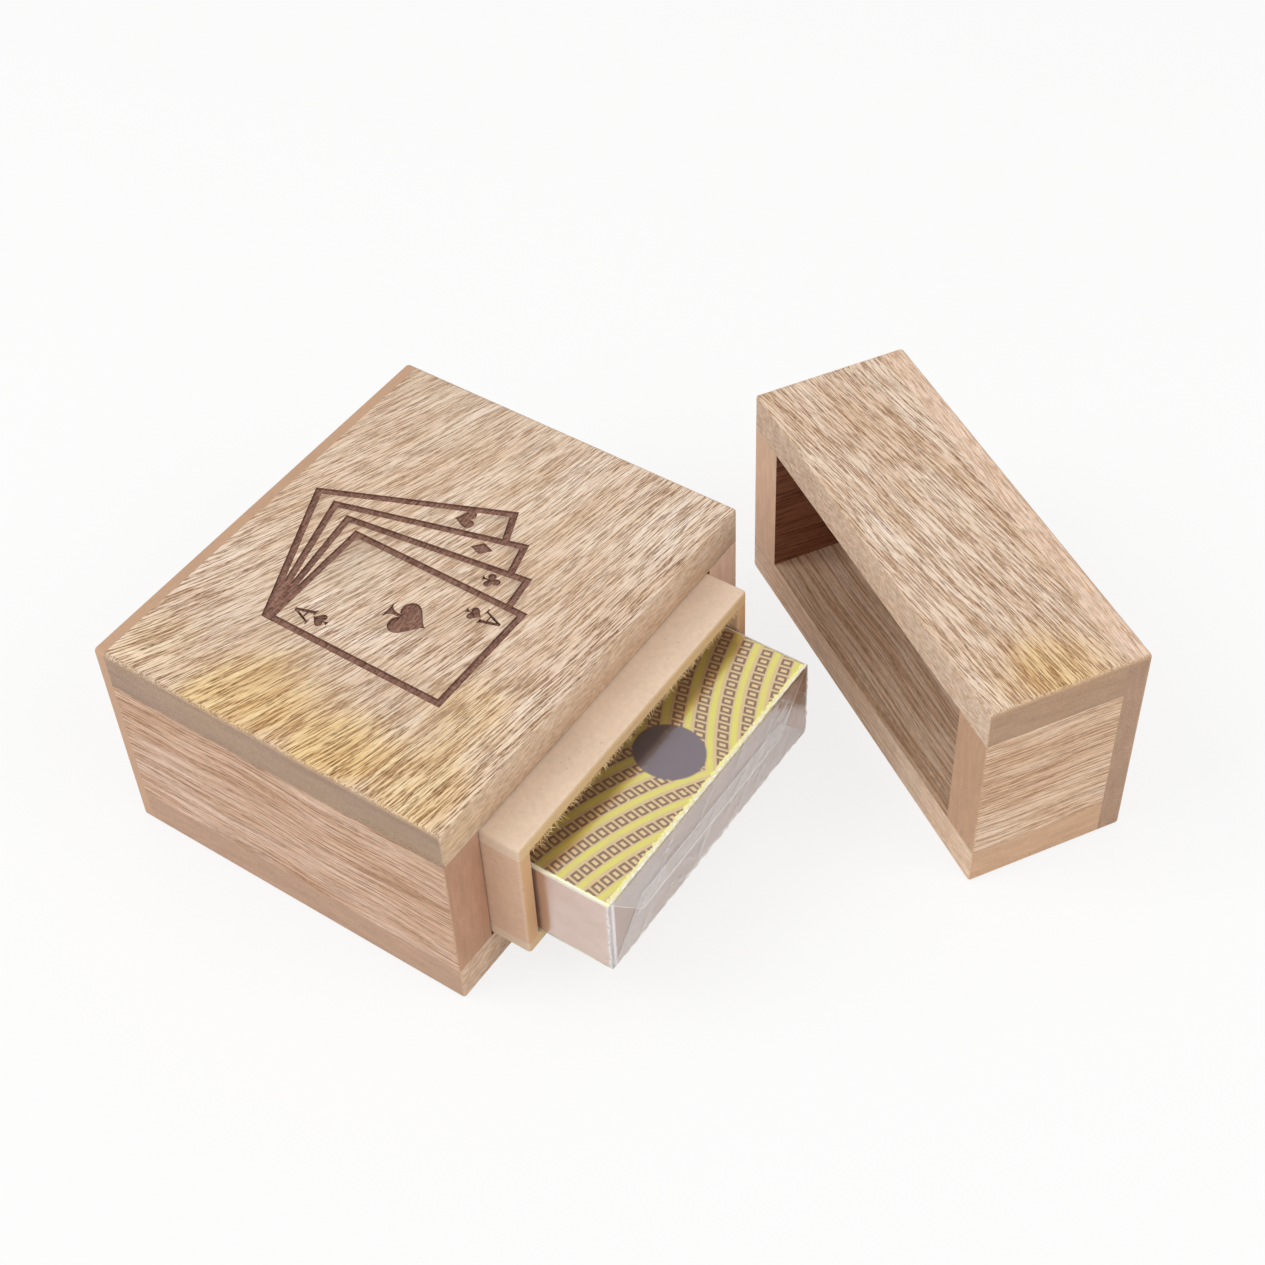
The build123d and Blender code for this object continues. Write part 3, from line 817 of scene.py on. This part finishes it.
# Coated card stock: white and smooth, with a line of painted shade for each card's edge.
card_thick = 0.31 * MM
stock, tree = new_material("coated_card_stock")
coords = add(tree, "ShaderNodeTexCoord")
part = add(tree, "ShaderNodeSeparateXYZ", {0: coords.outputs["Object"]})
layer = add(tree, "ShaderNodeMath", {0: part.outputs[2], 1: 1 / card_thick}, operation="MULTIPLY")
layer = add(tree, "ShaderNodeMath", {0: layer}, operation="FRACT")
layer = add(tree, "ShaderNodeMapRange", {0: layer, 1: 0.75, 2: 0.95})
uneven = add(tree, "ShaderNodeTexNoise", {
    "Vector": coords.outputs["Object"], "Scale": 1 / (3 * MM), "Detail": 3.0})
lines = add(tree, "ShaderNodeMath", {0: layer, 1: uneven}, operation="MULTIPLY")
white = add(tree, "ShaderNodeMix", {0: lines, 6: linear("#F2EFE8"), 7: linear("#8C8781")},
    data_type="RGBA")
bump = add(tree, "ShaderNodeBump", {
    "Height": lines, "Strength": 0.4, "Distance": 0.05 * MM, "Normal": coords.outputs["Normal"]})
skin = add(tree, "ShaderNodeBsdfPrincipled", {
    "Base Color": white, "Roughness": 0.4, "Normal": bump})
add(tree, "ShaderNodeOutputMaterial", {"Surface": skin})
dress("card_stack", stock)


# ---- The film round the case ----
# Clear polypropylene film, folded over the ends like a parcel and welded along one side. It is
# drawn here as the real creased skin, in place of the plain one of the CAD.

wrap_low, wrap_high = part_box("card_wrap")
film, corner = 0.08 * MM, 0.8 * MM
front_x, rear_x = wrap_high.x - 2 * film, wrap_low.x + 2 * film
half_y = (wrap_high.y - wrap_low.y - film) / 2
low_z, high_z = wrap_low.z, wrap_high.z
crease_count, pleat_count, pleat_width = 40, 13, 0.35 * MM
deepest = -0.05 * MM        # the case lies under the film
crumpled = 6.5 * MM         # how far back from the front end the film is crumpled
rng = random.Random(52)
# Short creases: where, which way, how long and wide, and how high each stands.
creases = []
for i in range(crease_count):
    far_end = i % 2
    y = rng.uniform(6, 31) if far_end else rng.uniform(-31, 20)
    z = rng.uniform(14, 30)
    slope = math.radians(rng.choice((-1, 1, 1)) * rng.uniform(25, 60))
    creases.append((Vector((y, z)) * MM, Vector((math.cos(slope), math.sin(slope))),
        rng.uniform(3, 14) * MM, rng.uniform(0.4, 1.0) * MM,
        rng.uniform(0.03, 0.10) * MM * rng.choice((-0.6, 1))))
# Long pleats run right across an end, with the film painted milkier on one side of each: a painted
# reflection of the pleat's facets.
pleats = []
for _ in range(pleat_count):
    slope = math.radians(rng.choice((-1, 1)) * rng.uniform(18, 70))
    pleats.append((Vector((rng.uniform(-32, 32), rng.uniform(14, 30))) * MM,
        Vector((math.cos(slope), math.sin(slope))), rng.uniform(-0.09, 0.09)))


def creased(y, z):
    """How far the end film stands out at y, z, and how milky it is there. The milk is partly
    whitening along the creases and partly painted reflection, on one side of each pleat and
    growing towards the -Y end.
    """
    p = Vector((y, z))
    out = 0.0
    white = 0.17 - 0.15 * y / half_y
    for at, way, step in pleats:
        beside = (p - at).cross(way) / pleat_width
        white += step * max(-1.0, min(1.0, beside))
        white = max(white, 0.30 * (1 - abs(beside)) if abs(beside) < 1 else 0.0)
    white = max(white, 0.03)
    for at, way, reach, width, height in creases:
        d = p - at
        along, off = abs(d.dot(way)) / reach, abs(d.cross(way)) / width
        if along < 1 and off < 1:
            out += height * (1 - off) * (1 - along)
            white = max(white, 0.5 * (1 - off * 2.2) * (1 - along))
    return out, white


def ripple(p, size, height):
    """A gentle waviness of that size and height."""
    return noise.noise(p / size) * height


skin_mesh = bmesh.new()
milk_and_sheen_layer = skin_mesh.verts.layers.float.new("milk_and_sheen")
across_steps, up_steps, arc_steps = 190, 54, 4
side_y, side_z = half_y - corner, high_z - corner
wide, tall = 2 * side_y, side_z - low_z - corner

# One ring of the tube, as points with their outward way: a run up to each corner, then its arc.
ring = []
for start, cy, cz, length, count in ((-90, side_y, low_z + corner, wide, across_steps),
                                     (0, side_y, side_z, tall, up_steps),
                                     (90, -side_y, side_z, wide, across_steps),
                                     (180, -side_y, low_z + corner, tall, up_steps)):
    steps = [(0, length * (1 - j / count)) for j in range(count)]
    steps += [(90 * j / arc_steps, 0) for j in range(arc_steps)]
    for bend, before in steps:
        ny, nz = math.cos(math.radians(start + bend)), math.sin(math.radians(start + bend))
        ring.append((cy + corner * ny + before * nz, cz + corner * nz - before * ny, ny, nz))

# The tube's rings stand close together at its front end, where the film is crumpled.
stations = [front_x - t * MM for t in (0, 0.25, 0.5, 0.9, 1.4, 2, 2.8, 3.8, 5, 6.4, 8, 11, 15, 20,
    26, 33, 41, 50, 60, 70, 80, 86, 90)] + [rear_x]
loops = []
for i, x in enumerate(stations):
    near = max(0.0, 1 - (front_x - x) / crumpled)
    loop = []
    for y, z, ny, nz in ring:
        p = Vector((x, y, z))
        stand = ripple(p, 2.2 * MM, 0.16 * MM) * near + ripple(p, 7 * MM, 0.03 * MM)
        if i == 0:
            stand += abs(ripple(p, 1.1 * MM, 0.32 * MM))
        stand = max(stand, deepest)
        if nz < -0.5:
            stand = min(stand, 0.02 * MM)
        v = skin_mesh.verts.new((x + (ripple(p, 1.5 * MM, 0.25 * MM) if i == 0 else 0),
            y + ny * stand, z + nz * stand))
        # The front rim is painted white as a highlight along the film's edge, and the film over
        # the rounded corners is milkier, partly as a painted sheen.
        ragged = 0.95 + 0.9 * noise.noise(p / (0.9 * MM))
        at_end = (1.0, 0.9, 0.35)[i] if i < 3 else 0.0
        on_fold = 0.8 * min(1.0, 2 * abs(ny * nz))
        v[milk_and_sheen_layer] = max(0.04, min(1.0, ragged * max(at_end, on_fold)))
        loop.append(v)
    loops.append(loop)
for a, b in zip(loops, loops[1:]):
    for j in range(len(ring)):
        k = (j + 1) % len(ring)
        skin_mesh.faces.new((a[k], a[j], b[j], b[k]))


def skin_over(grid, outward):
    """Faces between the points of a grid, or the other way round."""
    for low_line, high_line in zip(grid, grid[1:]):
        for quad in zip(low_line, low_line[1:], high_line[1:], high_line):
            skin_mesh.faces.new(quad if outward else quad[::-1])


def end_sheet(loop, x, way):
    """Closes an end with a fine grid of creased film that meets the tube's own edge."""
    rows, cols = up_steps, across_steps
    grid = []
    for i in range(rows + 1):
        z = low_z + corner * 0.3 + (high_z - low_z - corner * 0.6) * i / rows
        line = []
        for j in range(cols + 1):
            y = -half_y + corner * 0.3 + (2 * half_y - corner * 0.6) * j / cols
            out, white = creased(y, z)
            edge = min(i, j, rows - i, cols - j) / 2.0
            v = skin_mesh.verts.new((x + way * max(out, deepest) * min(edge, 1), y, z))
            v[milk_and_sheen_layer] = white
            line.append(v)
        grid.append(line)
    skin_over(grid, way > 0)
    border = (grid[0][:-1] + [line[-1] for line in grid[:-1]] + grid[-1][:0:-1] + [line[0]
        for line in grid[:0:-1]])
    both_edges = [skin_mesh.edges.get(pair) for line in (border, loop)
        for pair in zip(line, line[1:] + line[:1])]
    bmesh.ops.bridge_loops(skin_mesh, edges=both_edges)


end_sheet(loops[0], front_x, 1)
end_sheet(loops[-1], rear_x, -1)
bmesh.ops.recalc_face_normals(skin_mesh, faces=skin_mesh.faces)


def fold(x, way, z0, z1, lift):
    """One slanted end fold: a flap of film that lies over the end, with its edge a little up."""
    rows, cols = 14, 90
    grid = []
    for i in range(rows + 1):
        t = i / rows
        z = z0 + (z1 - z0) * t
        reach = side_y - fold_slope * abs(z - z0)
        line = []
        for j in range(cols + 1):
            y = reach * (2 * j / cols - 1)
            out, white = creased(y, z)
            rise = lift + (0.10 * MM * t ** 3 if way > 0 else 0)
            v = skin_mesh.verts.new((x + way * (max(out, 0) + rise), y, z))
            # The flap's edges are painted white as a highlight.
            v[milk_and_sheen_layer] = max(white, 0.5 * (t > 0.95), 0.4 * (j in (0, cols)))
            line.append(v)
        grid.append(line)
    skin_over(grid, (way > 0) == (z1 > z0))


fold_slope, fold_root, fold_reach = 0.8, 0.7 * MM, 0.62 * (high_z - low_z)
lower_lift, upper_lift = 0.06 * MM, 0.12 * MM
for x, way in ((front_x, 1), (rear_x, -1)):
    fold(x, way, low_z + fold_root, low_z + fold_reach, lower_lift)
    fold(x, way, high_z - fold_root, high_z - fold_reach, upper_lift)
film_mesh = bpy.data.meshes.new("creased_film")
skin_mesh.to_mesh(film_mesh)
skin_mesh.free()
film_mesh.shade_smooth()
film_mesh.set_sharp_from_angle(angle=math.radians(40))

# Clear polypropylene film, biaxially drawn: glass-clear and glossy, milky along its creases, with
# painted reflections and highlights on its pleats, folds and front edge.
clear, tree = new_material("clear_polypropylene_film")
milk_and_sheen = add(tree, "ShaderNodeAttribute", attribute_name="milk_and_sheen")
coords = add(tree, "ShaderNodeTexCoord")
wrinkle = add(tree, "ShaderNodeTexNoise", {
    "Vector": coords.outputs["Object"], "Scale": 1 / (5 * MM), "Detail": 1.0, "Distortion": 1.5})
bump = add(tree, "ShaderNodeBump", {"Height": wrinkle, "Strength": 0.5, "Distance": 0.12 * MM})
# A thin sheet mirrors alike from both sides, about 7% straight on and more at a slant.
slant = add(tree, "ShaderNodeLayerWeight", {"Blend": 0.5, "Normal": bump})
gloss = add(tree, "ShaderNodeMath", {0: slant.outputs["Facing"], 1: 5.0}, operation="POWER")
gloss = add(tree, "ShaderNodeMath", {0: gloss, 1: 0.93, 2: 0.07}, operation="MULTIPLY_ADD")
shine = add(tree, "ShaderNodeBsdfGlossy", {
    "Color": (1, 1, 1, 1), "Roughness": 0.10, "Normal": bump})
see = add(tree, "ShaderNodeBsdfTransparent")
both = add(tree, "ShaderNodeMixShader", {0: gloss, 1: see, 2: shine})
milk_and_sheen_bsdf = add(tree, "ShaderNodeBsdfDiffuse", {"Color": linear("#F6F2F0")})
# The milk is the film's haze together with painted reflections and highlights.
haze_and_sheen = add(tree, "ShaderNodeMapRange", {0: milk_and_sheen.outputs["Fac"], 4: 0.9})
both = add(tree, "ShaderNodeMixShader", {0: haze_and_sheen, 1: both, 2: milk_and_sheen_bsdf})
add(tree, "ShaderNodeOutputMaterial", {"Surface": both})
film_mesh.materials.append(clear)
film_piece = in_scene("creased_film", film_mesh)
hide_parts("card_wrap")
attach(film_piece, "pack")
